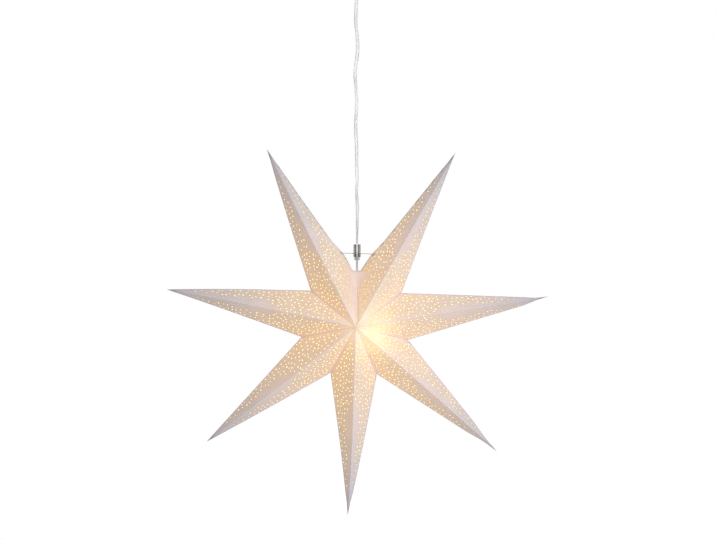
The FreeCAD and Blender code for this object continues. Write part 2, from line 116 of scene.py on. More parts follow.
def node_of(tree, kind, **settings):
    node = tree.nodes.new(kind)
    for name, value in settings.items():
        if hasattr(node, name):
            setattr(node, name, value)
        else:
            node.inputs[name].default_value = value
    return node


def set_inputs(node, **values):
    """Settings of a node, with "_" for the spaces in their names."""
    for name, value in values.items():
        node.inputs[name.replace("_", " ")].default_value = value


def position_of(tree):
    """Where a point of the piece lies in the piece's own frame."""
    return node_of(tree, "ShaderNodeTexCoord").outputs["Object"]


def noise(tree, scale, detail=3):
    texture = node_of(tree, "ShaderNodeTexNoise", Scale=scale, Detail=detail)
    tree.links.new(position_of(tree), texture.inputs["Vector"])
    return texture.outputs["Fac"]


def ramp(tree, factor, stops):
    """A colour ramp from (place, colour) stops."""
    node = node_of(tree, "ShaderNodeValToRGB")
    tree.links.new(factor, node.inputs["Fac"])
    elements = node.color_ramp.elements
    while len(elements) < len(stops):
        elements.new(0.5)
    for element, (place, colour) in zip(elements, stops):
        element.position = place
        element.color = (*colour, 1)
    return node.outputs["Color"]


def math_node(tree, kind, operation, first, second):
    """A node that joins two values, each a socket or a constant."""
    node = node_of(tree, kind, operation=operation)
    for socket, value in zip(node.inputs, (first, second)):
        if isinstance(value, bpy.types.NodeSocket):
            tree.links.new(value, socket)
        else:
            socket.default_value = value
    return node


def arithmetic(tree, operation, first, second):
    return math_node(tree, "ShaderNodeMath", operation, first, second).outputs[0]


def added(tree, first, second):
    return math_node(tree, "ShaderNodeVectorMath", "ADD", first, second).outputs[0]


def multiplied(tree, first, second):
    return math_node(tree, "ShaderNodeVectorMath", "MULTIPLY", first, second).outputs[0]


def blended(tree, factor, first, second):
    mix = node_of(tree, "ShaderNodeMix", data_type="RGBA")
    tree.links.new(factor, mix.inputs["Factor"])
    tree.links.new(first, mix.inputs[6])
    tree.links.new(second, mix.inputs[7])
    return mix.outputs[2]


def bumped(tree, shader, height, strength, distance):
    bump = node_of(tree, "ShaderNodeBump", Strength=strength, Distance=distance)
    tree.links.new(height, bump.inputs["Height"])
    tree.links.new(bump.outputs["Normal"], shader.inputs["Normal"])


def distance_to(tree, place):
    """Distance from a fixed point of the piece's frame."""
    distance = math_node(tree, "ShaderNodeVectorMath", "DISTANCE", position_of(tree), place)
    return distance.outputs["Value"]


def scaled(colour, factor):
    return tuple(channel * factor for channel in colour)


def shades(tree, factor, stops, darker, lighter):
    """A surface that varies between two shades."""
    return ramp(tree, factor, list(zip(stops, (darker, lighter))))


# The lamp's warmth as the photograph shows it: a wide glow, and a paler spot right of the middle.
GLOW_PLACE = HUB_PLACE + Vector((29, 41, -10)) * MM
GLOW_TINT = (1.0, 0.50, 0.06)
GLOW_REACH = 0.42
GLOW_SHARES = [(0.24, 0.28), (0.31, 0.24), (0.43, 0.195), (0.57, 0.112), (0.69, 0.053),
               (0.86, 0.022), (1.0, 0.01)]
HOT_PLACE = HUB_PLACE + Vector((34, -62, -12)) * MM
HOT_TINT = (0.30, 0.29, 0.11)
HOT_REACH = 0.085
HOT_SHARES = [(0.0, 1.0), (0.15, 0.9), (0.3, 0.64), (0.45, 0.37), (0.6, 0.17), (0.8, 0.04),
              (1.0, 0.0)]


def fading_light(tree, place, reach, tint, shares):
    """Light that fades with the distance from a place; shares are (part of the reach, strength)."""
    near = arithmetic(tree, "DIVIDE", distance_to(tree, place), reach)
    return ramp(tree, near, [(stop, scaled(tint, share)) for stop, share in shares])


def glow(tree):
    """The lamp's warmth coming through the paper."""
    wide = fading_light(tree, GLOW_PLACE, GLOW_REACH, GLOW_TINT, GLOW_SHARES)
    spot = fading_light(tree, HOT_PLACE, HOT_REACH, HOT_TINT, HOT_SHARES)
    return added(tree, wide, spot)


# The card's colour where it is plain, and among the perforations, where a painted warm glow is
# mixed in; and how far it varies.
PAPER_AND_GLOW_COLOUR = (0.775, 0.645, 0.515)
PLAIN_COLOUR = (0.782, 0.665, 0.645)
MOTTLING_SHARES = (0.97, 1.03)
# What is left of the light at the folds, and out to the tips as parts of the star's radius.
EDGE_SHADE = 0.45
TIP_SHADE = [(0.5, (1, 1, 1)), (0.84, (0.96, 0.965, 0.98)), (0.94, (0.82, 0.835, 0.86)),
             (1.0, (0.62, 0.65, 0.68))]
# What is left of the light inside, close to the notch for the cord and to the top seam.
NOTCH_PLACE = Vector((0, 0, -551)) * MM
NOTCH_REACH = 35 * MM
NOTCH_SHADE = [(0.0, (0.1, 0.09, 0.08)), (0.5, (0.14, 0.12, 0.1)), (1.0, (1, 1, 1))]
SEAM_REACH = 45 * MM
SEAM_SHADE = [(0.0, (0.02, 0.015, 0.01)), (0.25, (0.2, 0.17, 0.14)), (0.75, (0.9, 0.9, 0.9)),
              (1.0, (1, 1, 1))]
# The light inside from the middle out to the tips, and its tint on the rear panels that turn right.
INSIDE_LIGHT = [(0.0, (0.95, 0.72, 0.38)), (0.25, (0.82, 0.62, 0.36)), (0.55, (0.66, 0.52, 0.34)),
                (0.85, (0.42, 0.34, 0.26)), (1.0, (0.22, 0.19, 0.16))]
INSIDE_STRENGTH = 0.9
PALE_TINT = (0.86, 0.95, 1.3)


def measured(tree, name):
    """A number stored on the mesh's corners, such as how much painted shade each gets at a fold."""
    return node_of(tree, "ShaderNodeAttribute", attribute_name=name).outputs["Fac"]


def fold_shade(tree):
    return ramp(tree, measured(tree, "fold"), [(0.0, (1, 1, 1)), (1.0, (EDGE_SHADE,) * 3)])


def reach_of(tree):
    """Distance from the star's middle as a part of its radius."""
    return arithmetic(tree, "DIVIDE", distance_to(tree, HUB_PLACE), STAR_RADIUS)


def paper_colour(tree):
    """Mauve where the card is plain, with a painted warm glow among the perforations, and painted
    shade at folds and tips.
    """
    mottling = noise(tree, MOTTLING_SCALE, 4)
    plain, glowing = (shades(tree, mottling, MOTTLING_STOPS,
                          *(scaled(colour, share) for share in MOTTLING_SHARES))
                   for colour in (PLAIN_COLOUR, PAPER_AND_GLOW_COLOUR))
    # Around the perforations the colour with the painted glow is mixed in.
    surface = blended(tree, measured(tree, "pierced"), plain, glowing)
    folded = multiplied(tree, surface, fold_shade(tree))
    return multiplied(tree, folded, ramp(tree, reach_of(tree), TIP_SHADE))


def paper_outside():
    """Card seen from outside, with the lamp's warmth coming through."""
    material, tree, shader = new_material("paper_outside")
    tree.links.new(paper_colour(tree), shader.inputs["Base Color"])
    tree.links.new(multiplied(tree, glow(tree), fold_shade(tree)), shader.inputs["Emission Color"])
    set_inputs(shader, Roughness=0.85, Specular_IOR_Level=0.2, Emission_Strength=1)
    bumped(tree, shader, noise(tree, FIBRE_SCALE), 0.03, SOFT_BUMP)
    return material


def paper_in_shade():
    """Plain card that faces the star's dim inside at the top seam."""
    material, tree, shader = new_material("paper_in_shade")
    base = shades(tree, noise(tree, GRAIN_SCALE), MOTTLING_STOPS,
                  (0.40, 0.34, 0.31), (0.45, 0.39, 0.36))
    tree.links.new(base, shader.inputs["Base Color"])
    set_inputs(shader, Roughness=0.9, Specular_IOR_Level=0.1)
    bumped(tree, shader, noise(tree, FIBRE_SCALE), 0.1, PAPER_BUMP)
    return material


def seam_distance(tree):
    """Distance from the top seam, sideways or below the star's middle, as a part of its reach."""
    place = node_of(tree, "ShaderNodeSeparateXYZ")
    tree.links.new(position_of(tree), place.inputs[0])
    sideways = arithmetic(tree, "ABSOLUTE", place.outputs["X"], 0)
    below = arithmetic(tree, "SUBTRACT", HUB_PLACE.z, place.outputs["Z"])
    return arithmetic(tree, "DIVIDE", arithmetic(tree, "MAXIMUM", sideways, below), SEAM_REACH)


def paper_inside(name, tint):
    """The lit inner face, which shows through every perforation; the notch at the top stays dim."""
    material, tree, shader = new_material(name)
    base = shades(tree, noise(tree, GRAIN_SCALE), MOTTLING_STOPS,
                  (0.74, 0.67, 0.60), (0.8, 0.73, 0.66))
    tree.links.new(base, shader.inputs["Base Color"])
    stops = [(at, tuple(a * b for a, b in zip(colour, tint))) for at, colour in INSIDE_LIGHT]
    light = ramp(tree, reach_of(tree), stops)
    notch = arithmetic(tree, "DIVIDE", distance_to(tree, NOTCH_PLACE), NOTCH_REACH)
    seam = ramp(tree, seam_distance(tree), SEAM_SHADE)
    shade = multiplied(tree, ramp(tree, notch, NOTCH_SHADE), seam)
    tree.links.new(multiplied(tree, light, shade), shader.inputs["Emission Color"])
    set_inputs(shader, Roughness=0.9, Emission_Strength=INSIDE_STRENGTH)
    bumped(tree, shader, noise(tree, FIBRE_SCALE), 0.1, PAPER_BUMP)
    return material


def metal(name, colour, roughness, scratch_scale):
    """Metal whose colour and roughness vary with its wear."""
    material, tree, shader = new_material(name)
    wear = noise(tree, scratch_scale, 4)
    base = shades(tree, wear, WEAR_STOPS, scaled(colour, METAL_SHADE), colour)
    tree.links.new(base, shader.inputs["Base Color"])
    shader.inputs["Metallic"].default_value = 1
    spread = node_of(tree, "ShaderNodeMapRange")
    tree.links.new(wear, spread.inputs["Value"])
    smoothest, roughest = (roughness * share for share in ROUGHNESS_SPREAD)
    set_inputs(spread, To_Min=smoothest, To_Max=roughest)
    tree.links.new(spread.outputs["Result"], shader.inputs["Roughness"])
    bumped(tree, shader, wear, 0.05, SOFT_BUMP)
    return material


def plastic(name, colour, roughness):
    material, tree, shader = new_material(name)
    grain = noise(tree, MOULDING_SCALE)
    base = shades(tree, grain, WEAR_STOPS, scaled(colour, MOULDING_SHADE), colour)
    tree.links.new(base, shader.inputs["Base Color"])
    shader.inputs["Roughness"].default_value = roughness
    bumped(tree, shader, grain, 0.06, SOFT_BUMP)
    return material


def clear_plastic(name, colour, roughness, share):
    """Plastic of which this share lets light through."""
    material, tree, shader = new_material(name)
    streaks = noise(tree, STREAK_SCALE)
    base = shades(tree, streaks, MOTTLING_STOPS, scaled(colour, CLEAR_SHADE), colour)
    tree.links.new(base, shader.inputs["Base Color"])
    set_inputs(shader, Roughness=roughness, IOR=1.5, Transmission_Weight=share)
    bumped(tree, shader, streaks, 0.05, SOFT_BUMP)
    return material


def lit_glass():
    """Frosted glass of a bulb that is on."""
    material, tree, shader = new_material("lit_bulb_glass")
    frost = noise(tree, FROST_SCALE)
    base = shades(tree, frost, WEAR_STOPS, (0.95, 0.85, 0.68), (1.0, 0.93, 0.8))
    light = shades(tree, frost, WEAR_STOPS, (1.0, 0.80, 0.48), (1.0, 0.86, 0.58))
    tree.links.new(base, shader.inputs["Base Color"])
    tree.links.new(light, shader.inputs["Emission Color"])
    set_inputs(shader, Roughness=0.35, Emission_Strength=1.6)
    return material


# ---------------------------------------------------------------- mesh helpers

def eased(share):
    """A share from 0 to 1 that starts and ends softly."""
    return share * share * (3 - 2 * share)


def add_marks(item, name, values):
    """One number for each corner of the mesh, which its material reads by this name."""
    mark = item.data.attributes.new(name, "FLOAT", "POINT")
    mark.data.foreach_set("value", values)


def object_from(name, vertices, faces, materials, slots=None, smooth=False):
    """A new piece in the scene; slots says which material each face has."""
    mesh = bpy.data.meshes.new(name)
    mesh.from_pydata([tuple(v) for v in vertices], [], faces)
    for material in materials:
        mesh.materials.append(material)
    if slots:
        mesh.polygons.foreach_set("material_index", slots)
    if smooth:
        mesh.polygons.foreach_set("use_smooth", [True] * len(mesh.polygons))
    mesh.update()
    item = bpy.data.objects.new(name, mesh)
    bpy.context.scene.collection.objects.link(item)
    return item


def finish_node(name, material):
    """Gives a solid that is carried over its finish."""
    item = nodes[name]
    item.data.materials.clear()
    item.data.materials.append(material)


# ---------------------------------------------------------------- cord

# The cord's line in millimetres: straight in the gland and grip, wandering a little between.
CORD_ROUTE = [
    (0, 0, -15),
    (0, 0, -66),
    (-3, 0, -112),
    (0.6, 0.4, -140),
    (1.4, 0, -158),
    (0, 0, -176),
    (-4.2, -0.5, -204),
    (-1.4, 0, -236),
    (-0.2, 0.3, -258),
    (-3.2, 0, -298),
    (-0.4, -0.4, -330),
    (-1.1, 0, -362),
    (0.8, 0.3, -392),
    (-1.2, 0, -412),
    (1.2, 0, -444),
    (0.3, 0, -468),
    (0.3, 0, -490),
    (-0.2, 0, -506),
    (0, 0, -520),
    (0, 0, -545),
    (0, 0, -596),
]
# Its flat side's turn in degrees at each height: broad to the front, or edge on.
CORD_TURNS = [(-15, 0), (-66, 0), (-124, 28), (-156, 0), (-205, 10), (-219, 40), (-266, 10),
              (-282, 35), (-330, 5), (-362, 35), (-378, 0), (-410, 50), (-442, 20), (-474, 55),
              (-488, 88), (-536, 90), (-596, 90)]
CORD_WIDTH = 6 * MM
CORD_THICKNESS = 3.8 * MM
CORE_OFFSET = (CORD_WIDTH - CORD_THICKNESS) / 2
CONDUCTOR_RADIUS = 0.35 * MM
CONDUCTOR_OFFSET = 1.6 * MM
CONDUCTOR_SIDES = 6
# Each lobe is drawn this many degrees to either side of its outermost point.
LOBE_REACH = 128
LOBE_STEPS = 12
LINE_STEPS = 12
# Below this height the cord is in the grip and the star, where all of it gets the painted shade of
# its rim.
GRIP_PLACE = -512 * MM
SHADED_RIM = 0.8
# The sheath's colour from its middle to its rim, with painted shade towards the rim, in its darker
# and its lighter stretches.
STRONG_RIM_SHADE = [(0.0, (0.9, 0.9, 0.89)), (0.55, (0.86, 0.86, 0.85)), (0.78, (0.38, 0.38, 0.37)),
              (1.0, (0.5, 0.5, 0.49))]
WEAK_RIM_SHADE = [(0.0, (0.92, 0.92, 0.91)), (0.55, (0.88, 0.88, 0.87)), (0.78, (0.62, 0.62, 0.61)),
            (1.0, (0.85, 0.85, 0.84))]
STRETCH_SCALE = 22
STRETCH_STOPS = (0.38, 0.62)


def route_line():
    """Points along the cord's smooth line."""
    curve = bpy.data.curves.new("cord_line", "CURVE")
    curve.dimensions = "3D"
    curve.resolution_u = LINE_STEPS
    spline = curve.splines.new("NURBS")
    spline.points.add(len(CORD_ROUTE) - 1)
    for point, place in zip(spline.points, CORD_ROUTE):
        point.co = (*(Vector(place) * MM), 1)
    spline.order_u = 3
    spline.use_endpoint_u = True
    item = bpy.data.objects.new("cord_line", curve)
    mesh = bpy.data.meshes.new_from_object(item)
    line = [v.co.copy() for v in mesh.vertices]
    bpy.data.objects.remove(item)
    bpy.data.curves.remove(curve)
    bpy.data.meshes.remove(mesh)
    return line


def cord_turn(height):
    """How far the flat cord has turned about its own line, in radians."""
    for (upper, start), (lower, end) in zip(CORD_TURNS, CORD_TURNS[1:]):
        if height >= lower * MM:
            share = max(0, (upper * MM - height) / ((upper - lower) * MM))
            return math.radians(start + (end - start) * eased(share))
    return math.radians(CORD_TURNS[-1][1])


def sheath_section():
    """Outline of the twin cord: two round lobes that meet in a shallow waist."""
    points = []
    lobe = CORD_THICKNESS / 2
    for side in (1, -1):
        for step in range(LOBE_STEPS + 1):
            angle = math.radians(LOBE_REACH * (2 * step / LOBE_STEPS - 1))
            across = side * (CORE_OFFSET + lobe * math.cos(angle))
            points.append((across, side * lobe * math.sin(angle)))
    return points


def swept(name, line, section, material, shift=0.0):
    """A section carried down the line, turned with the cord; "rim" grows from its middle."""
    vertices = []
    faces = []
    count = len(section)
    for place in line:
        turn = cord_turn(place.z)
        right = Vector((math.cos(turn), math.sin(turn), 0))
        ahead = Vector((-math.sin(turn), math.cos(turn), 0))
        for across, along in section:
            vertices.append(place + right * (across + shift) + ahead * along)
    for ring in range(len(line) - 1):
        for i in range(count):
            a = ring * count + i
            b = ring * count + (i + 1) % count
            faces.append((a, b, b + count, a + count))
    last = (len(line) - 1) * count
    faces.append(tuple(range(count))[::-1])
    faces.append(tuple(last + i for i in range(count)))
    item = object_from(name, vertices, faces, [material], smooth=True)
    half = max(across for across, _ in section)
    # The rim number sets the sheath's painted shade; below the grip all of the section gets the
    # painted shade of its rim.
    add_marks(item, "rim", [abs(across) / half if place.z > GRIP_PLACE else SHADED_RIM
                            for place in line for across, _ in section])
    return item


def cord_plastic():
    """Clear soft plastic with painted grey shade on its round edges; its flat middle stays clear.
    """
    material, tree, shader = new_material("clear_cord_sheath")
    rim = measured(tree, "rim")
    share = shades(tree, noise(tree, STRETCH_SCALE, 1), STRETCH_STOPS, (0, 0, 0), (1, 1, 1))
    base = blended(tree, share, ramp(tree, rim, STRONG_RIM_SHADE), ramp(tree, rim, WEAK_RIM_SHADE))
    tree.links.new(base, shader.inputs["Base Color"])
    set_inputs(shader, Roughness=0.08, IOR=1.08, Transmission_Weight=1)
    bumped(tree, shader, noise(tree, STREAK_SCALE), 0.03, SOFT_BUMP)
    return material


def make_cord():
    line = route_line()
    clear = cord_plastic()
    tinned = metal("tinned_conductor", (0.93, 0.92, 0.9), 0.5, 900)
    sheath = swept("cord_sheath", line, sheath_section(), clear)
    angles = [math.radians(360 * i / CONDUCTOR_SIDES) for i in range(CONDUCTOR_SIDES)]
    ring = [(CONDUCTOR_RADIUS * math.cos(angle), CONDUCTOR_RADIUS * math.sin(angle))
            for angle in angles]
    conductors = [swept("conductor_%d" % (i + 1), line, ring, tinned, shift)
                  for i, shift in enumerate((-CONDUCTOR_OFFSET, CONDUCTOR_OFFSET))]
    for piece in [sheath] + conductors:
        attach(piece, "fixed_fitting")
    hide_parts("cord_upper", "cord_lower")


# ---------------------------------------------------------------- perforated paper panels

# How far apart the points along the edges and in the plain card lie.
EDGE_STEP = 11 * MM
# The perforations: their radius and how it varies, and the least and widest space between them.
HOLE_RADIUS = 1.2 * MM
HOLE_SIZES = (0.82, 1.12)
HOLE_SPACING = (5.2 * MM, 9.5 * MM)
HOLE_SIDES = 8
TRIES = 2600
LEFT_SEED = 11
RIGHT_SEED = 23
# How far the perforations stay from the folds, the seam's edges, the hub, the tip and the notch.
FOLD_MARGIN = 3.2 * MM
LEFT_SEAM_MARGIN = 11 * MM
RIGHT_SEAM_MARGIN = 6 * MM
HUB_PLAIN = 34 * MM
TIP_PLAIN = 52 * MM
NOTCH_PLAIN = 7 * MM
# The plain band along the ridge, and where the perforations thin out, as shares of the ridge.
BAND_START = 0.36
BAND_FADE = 0.12
BAND_SHARE = 0.42
THINNING_START = 0.62
THINNING_RATE = 2.6
THINNEST = 0.25
# The notch for the crossbar in the creases of the two upper arms.
BAR_NOTCH = 1.7 * MM
NOTCH_TURN = 30
# The shade along the folds fades out over this width.  It is 1 at the outer edges, less elsewhere.
CREASE_WIDTH = 1.6 * MM
RIDGE_MARK = 0.12
JOINT_MARK = 0.3
# How far the points of a panel keep from each other, in radii of the notch or of a perforation.
NOTCH_CLEARANCE = 1.2
RUN_CLEARANCE = 1.5
HOLE_CLEARANCE = 1.6
# Neighbours on a crease further apart than this aren't joined.
RUN_GAP = 1.5 * EDGE_STEP
# The least share that each of the panel's corners has in a grid point.
GRID_MARGIN = 0.03
# A point closer to an edge than this lies on it.
TOUCHING = 1e-7


def line_points(first, second, step):
    count = max(1, round((second - first).length / step))
    return [first.lerp(second, i / count) for i in range(count)]


def edge_distance(point, first, second):
    along = (second - first).normalized()
    return abs((point - first).cross(along))


def barycentric(point, corners):
    """The share that each of the triangle's corners has in the point."""
    a, b, c = corners
    area = (b - a).cross(c - a)
    v = (point - a).cross(c - a) / area
    w = (b - a).cross(point - a) / area
    return 1 - v - w, v, w


def is_perforated(point, corners, dice, seam_margin):
    """Whether a perforation may sit here: folds, hub, tip and the band by the ridge stay plain."""
    top, tip, valley = corners
    if edge_distance(point, valley, top) < seam_margin:
        return False
    shares = barycentric(point, corners)
    if min(shares) < 0:
        return False
    edges = ((top, tip), (tip, valley), (valley, top))
    if min(edge_distance(point, *edge) for edge in edges) < FOLD_MARGIN:
        return False
    from_hub = (point - top).length
    from_tip = (point - tip).length
    if from_hub < HUB_PLAIN or from_tip < TIP_PLAIN:
        return False
    along = point.x / tip.x
    outer = valley.y * (tip.x - point.x) / (tip.x - valley.x)
    inner = valley.y * point.x / valley.x
    width = min(outer, inner)
    across = point.y / width
    if along > BAND_START:
        fade = min(1, (along - BAND_START) / BAND_FADE)
        if across < BAND_SHARE * fade:
            return False
    thinning = 1
    if along >= THINNING_START:
        thinning = max(THINNEST, 1 - (along - THINNING_START) * THINNING_RATE)
    return dice.random() < thinning


def scatter_holes(corners, seed, seam_margin):
    """Places and radii of one panel's perforations."""
    dice = random.Random(seed)
    _, tip, valley = corners
    holes = []
    for _ in range(TRIES):
        point = Vector((dice.uniform(0, tip.x), dice.uniform(0, valley.y)))
        if not is_perforated(point, corners, dice, seam_margin):
            continue
        space = dice.triangular(*HOLE_SPACING)
        if all((point - other).length > space for other, _ in holes):
            holes.append((point, HOLE_RADIUS * dice.uniform(*HOLE_SIZES)))
    return holes


def crease_line(border, corners):
    """Points just inside the panel's edges, in runs; a fold's shade fades out over this width."""
    edges = list(zip(corners, corners[1:] + corners[:1]))
    middle = sum(corners, Vector((0, 0))) / 3
    runs = [[]]
    for first, second in edges:
        along = (second - first).normalized()
        inward = Vector((-along.y, along.x))
        if (middle - first).dot(inward) < 0:
            inward = -inward
        for point in border:
            on_edge = edge_distance(point, first, second) < TOUCHING
            inset = point + inward * CREASE_WIDTH
            others = [edge for edge in edges if edge != (first, second)]
            if on_edge and all(edge_distance(inset, *edge) > 2 * CREASE_WIDTH for edge in others):
                runs[-1].append(inset)
            else:
                runs.append([])
        runs.append([])
    return [run for run in runs if len(run) > 1]


def bar_cut(crease, tip, valley, inner, notch):
    """The crease's points with a half round cut where the crossbar passes."""
    along = (valley - tip).normalized()
    inward = Vector((along.y, -along.x))
    if (inner - tip).dot(inward) < 0:
        inward = -inward
    centre = tip.lerp(valley, notch)
    arc = []
    for degrees in range(0, 181, NOTCH_TURN):
        angle = math.radians(degrees)
        arc.append(centre + (inward * math.sin(angle) - along * math.cos(angle)) * BAR_NOTCH)
    reach = (centre - tip).length
    before = [p for p in crease if (p - tip).length < reach - BAR_NOTCH * NOTCH_CLEARANCE]
    after = [p for p in crease if (p - tip).length > reach + BAR_NOTCH * NOTCH_CLEARANCE]
    return before + arc + after, centre


def grid_points(corners, holes):
    """Rows of points that fill the panel between its perforations."""
    _, tip, valley = corners
    points = []
    for row in range(int(valley.y / EDGE_STEP) + 1):
        for column in range(int(tip.x / EDGE_STEP) + 1):
            point = Vector(((column + 0.5 * (row % 2)) * EDGE_STEP, (row + 0.5) * EDGE_STEP))
            if min(barycentric(point, corners)) < GRID_MARGIN:
                continue
            if all((point - place).length > radius * HOLE_CLEARANCE for place, radius in holes):
                points.append(point)
    return points


def point_mark(point, owner, corners):
    """How much painted shade a point gets at a fold, and whether it lies on a perforation's rim,
    where the painted glow is mixed in.
    """
    top, tip, valley = corners
    if owner != 0:
        return 0.0, 1.0 if owner > 0 else 0.0
    if edge_distance(point, top, valley) < TOUCHING:
        return JOINT_MARK, 0.0
    return RIDGE_MARK if edge_distance(point, top, tip) < TOUCHING else 1.0, 0.0


def triangulated(corners, holes, notch):
    """Points, triangles, open loops and marks of one flat panel with its perforations.

    A point's owner is 0 on the border, the number of its perforation, or -1 in the plain card.
    """
    top, tip, valley = corners
    crease = line_points(tip, valley, EDGE_STEP)
    centre = None
    if notch is not None:
        crease, centre = bar_cut(crease, tip, valley, top, notch)
    border = line_points(top, tip, EDGE_STEP) + crease + line_points(valley, top, EDGE_STEP)
    points = list(border)
    edges = [(i, (i + 1) % len(border)) for i in range(len(border))]
    loops = [list(range(len(border)))]
    owner = [0] * len(border)
    for run in crease_line(border, corners):
        if centre is not None and min((p - centre).length for p in run) < EDGE_STEP:
            run = [p for p in run if (p - centre).length > BAR_NOTCH * RUN_CLEARANCE]
        for i, point in enumerate(run):
            points.append(point)
            owner.append(-1)
            if i and (point - run[i - 1]).length < RUN_GAP and centre is None:
                edges.append((len(points) - 2, len(points) - 1))
    for number, (place, radius) in enumerate(holes, start=1):
        start = len(points)
        for side in range(HOLE_SIDES):
            angle = math.radians(360 * side / HOLE_SIDES)
            points.append(place + Vector((math.cos(angle), math.sin(angle))) * radius)
            edges.append((start + side, start + (side + 1) % HOLE_SIDES))
            owner.append(number)
        loops.append(list(range(start, start + HOLE_SIDES)))
    filling = grid_points(corners, holes)
    points += filling
    owner += [-1] * len(filling)
    flat, _, triangles, _, _, _ = delaunay_2d_cdt(points, edges, [], 1, TOUCHING)
    if len(flat) != len(points):
        raise RuntimeError("the panel's points were merged")
    kept = []
    for triangle in triangles:
        owners = {owner[i] for i in triangle}
        middle = sum((points[i] for i in triangle), Vector((0, 0))) / 3
        in_hole = len(owners) == 1 and min(owners) > 0
        in_cut = centre is not None and owners == {0} and (middle - centre).length < BAR_NOTCH
        if not in_hole and not in_cut:
            kept.append(tuple(triangle))
    marks = [point_mark(point, number, corners) for point, number in zip(points, owner)]
    return points, kept, loops, marks


def panel_pattern(seed, notch=None, seam_margin=FOLD_MARGIN):
    """One panel drawn flat: hub at the origin, ridge along +X, crease above it."""
    hub_point = Vector((0, -HALF_DEPTH, 0))
    tip = Vector((0, 0, STAR_RADIUS))
    half = math.radians(ARM_STEP / 2)
    valley = Vector((math.sin(half), 0, math.cos(half))) * VALLEY_RADIUS
    ridge = tip - hub_point
    side = valley - hub_point
    along = side.dot(ridge.normalized())
    corners = [Vector((0, 0)), Vector((ridge.length, 0)),
               Vector((along, math.sqrt(side.length_squared - along * along)))]
    holes = scatter_holes(corners, seed, seam_margin)
    if notch is not None:
        centre = corners[1].lerp(corners[2], notch)
        holes = [hole for hole in holes if (hole[0] - centre).length > NOTCH_PLAIN]
    points, triangles, loops, marks = triangulated(corners, holes, notch)
    return [barycentric(point, corners) for point in points], triangles, loops, marks


def plane_direction(angle):
    return Vector((math.cos(math.radians(angle)), 0, math.sin(math.radians(angle))))


def arm_directions():
    """The arms' angles from +X, anticlockwise from the upper left one to the upper right one."""
    lower = [-90 + ARM_STEP * turn for turn in (-2, -1, 0, 1, 2)]
    return [lower[0] - TOP_ARM_STEP] + lower + [lower[-1] + TOP_ARM_STEP]


# The materials of a sheet in order: the outside, the lit inside, and the inside with a paler tint
# of its painted light.  A tab has only the first two.
OUTSIDE, INSIDE, PALE_INSIDE = range(3)


class Sheet:
    """Collects slabs of paper into one mesh with outside and inside finishes."""

    def __init__(self):
        self.vertices = []
        self.faces = []
        self.slots = []
        self.marks = []

    def add_slab(self, outer, inner, triangles, loops, marks, inside=INSIDE):
        start = len(self.vertices)
        count = len(outer)
        self.vertices += outer + inner
        self.marks += marks + marks
        normal = Vector()
        for a, b, c in triangles:
            normal += (outer[b] - outer[a]).cross(outer[c] - outer[a])
        flip = normal.dot(outer[0] - inner[0]) < 0
        for a, b, c in triangles:
            front = (a, c, b) if flip else (a, b, c)
            self.faces.append(tuple(start + i for i in front))
            self.slots.append(OUTSIDE)
            self.faces.append(tuple(start + count + i for i in front[::-1]))
            self.slots.append(inside)
        for loop in loops:
            for i, first in enumerate(loop):
                second = loop[(i + 1) % len(loop)]
                self.faces.append((start + first, start + count + first, start + count + second,
                                   start + second))
                self.slots.append(OUTSIDE if loop is loops[0] else inside)

    def add_flat(self, corners, thickness, fold=0.0):
        """A flat piece of card with the given corners in order; fold is how much painted shade it
        gets.
        """
        inner = [corner + thickness for corner in corners]
        count = len(corners)
        triangles = [(0, i, i + 1) for i in range(1, count - 1)]
        self.add_slab(corners, inner, triangles, [list(range(count))], [(fold, 0.0)] * count)

    def into_object(self, name, materials):
        vertices = [HUB @ vertex for vertex in self.vertices]
        item = object_from(name, vertices, self.faces, materials, self.slots)
        for mark_name, values in zip(("fold", "pierced"), zip(*self.marks)):
            add_marks(item, mark_name, values)
        return item


def glue_flap(sheet, top, valley, thickness):
    """Flap that is folded inwards along a joint and glued to the next arm."""
    fold = (valley - top).normalized()
    length = (valley - top).length
    inward = -top.lerp(valley, 0.5)
    inward = (inward - fold * inward.dot(fold)).normalized()
    corners = [
        top + fold * FLAP_SETBACK,
        top + fold * (length - FLAP_SETBACK / 2),
        top + fold * (length - FLAP_SETBACK / 2 - FLAP_WIDTH) + inward * FLAP_WIDTH,
        top + fold * (FLAP_SETBACK + FLAP_WIDTH) + inward * FLAP_WIDTH,
    ]
    sheet.add_flat(corners, thickness)


# How each tip has curled: in millimetres along its own turn, away from the viewer and shorter, and
# from which part of the radius on.
TIP_BENDS = {1: (-2.3, -5, 0, 0.5), 2: (4.5, 15, 3.4, 0.5), 3: (0, 12, 2.2, 0.5),
             4: (-3.8, -8, 0.8, 0.5), 5: (-1.2, 3, 1.6, 0.5), 6: (3.4, -4, -0.4, 0.84),
             7: (0.4, -15, -3, 0.5)}
# How much narrower each tip's end is pressed, and from where on.
PINCHES = {1: (0.15, 0.88), 2: (0, 0.88), 3: (0, 0.88), 4: (0.25, 0.88), 5: (0.42, 0.8),
           6: (0.45, 0.88), 7: (0.1, 0.88)}
PINCH_END = 0.95
# Where the crossbar pushes the creases of the two upper arms together, and how far sideways.
BAR_PUSHES = {1: (Vector((-24, 0, 127)) * MM, 4.8 * MM), 7: (Vector((24, 0, 127)) * MM, -3.2 * MM)}
BAR_PUSH_REACH = 34 * MM


def pushed(point, number):
    """The point after the crossbar's push, which fades out around its place."""
    if number not in BAR_PUSHES:
        return point
    place, move = BAR_PUSHES[number]
    near = max(0, 1 - ((point - place).length / BAR_PUSH_REACH) ** 2)
    return point + Vector((move * near * near, 0, 0))


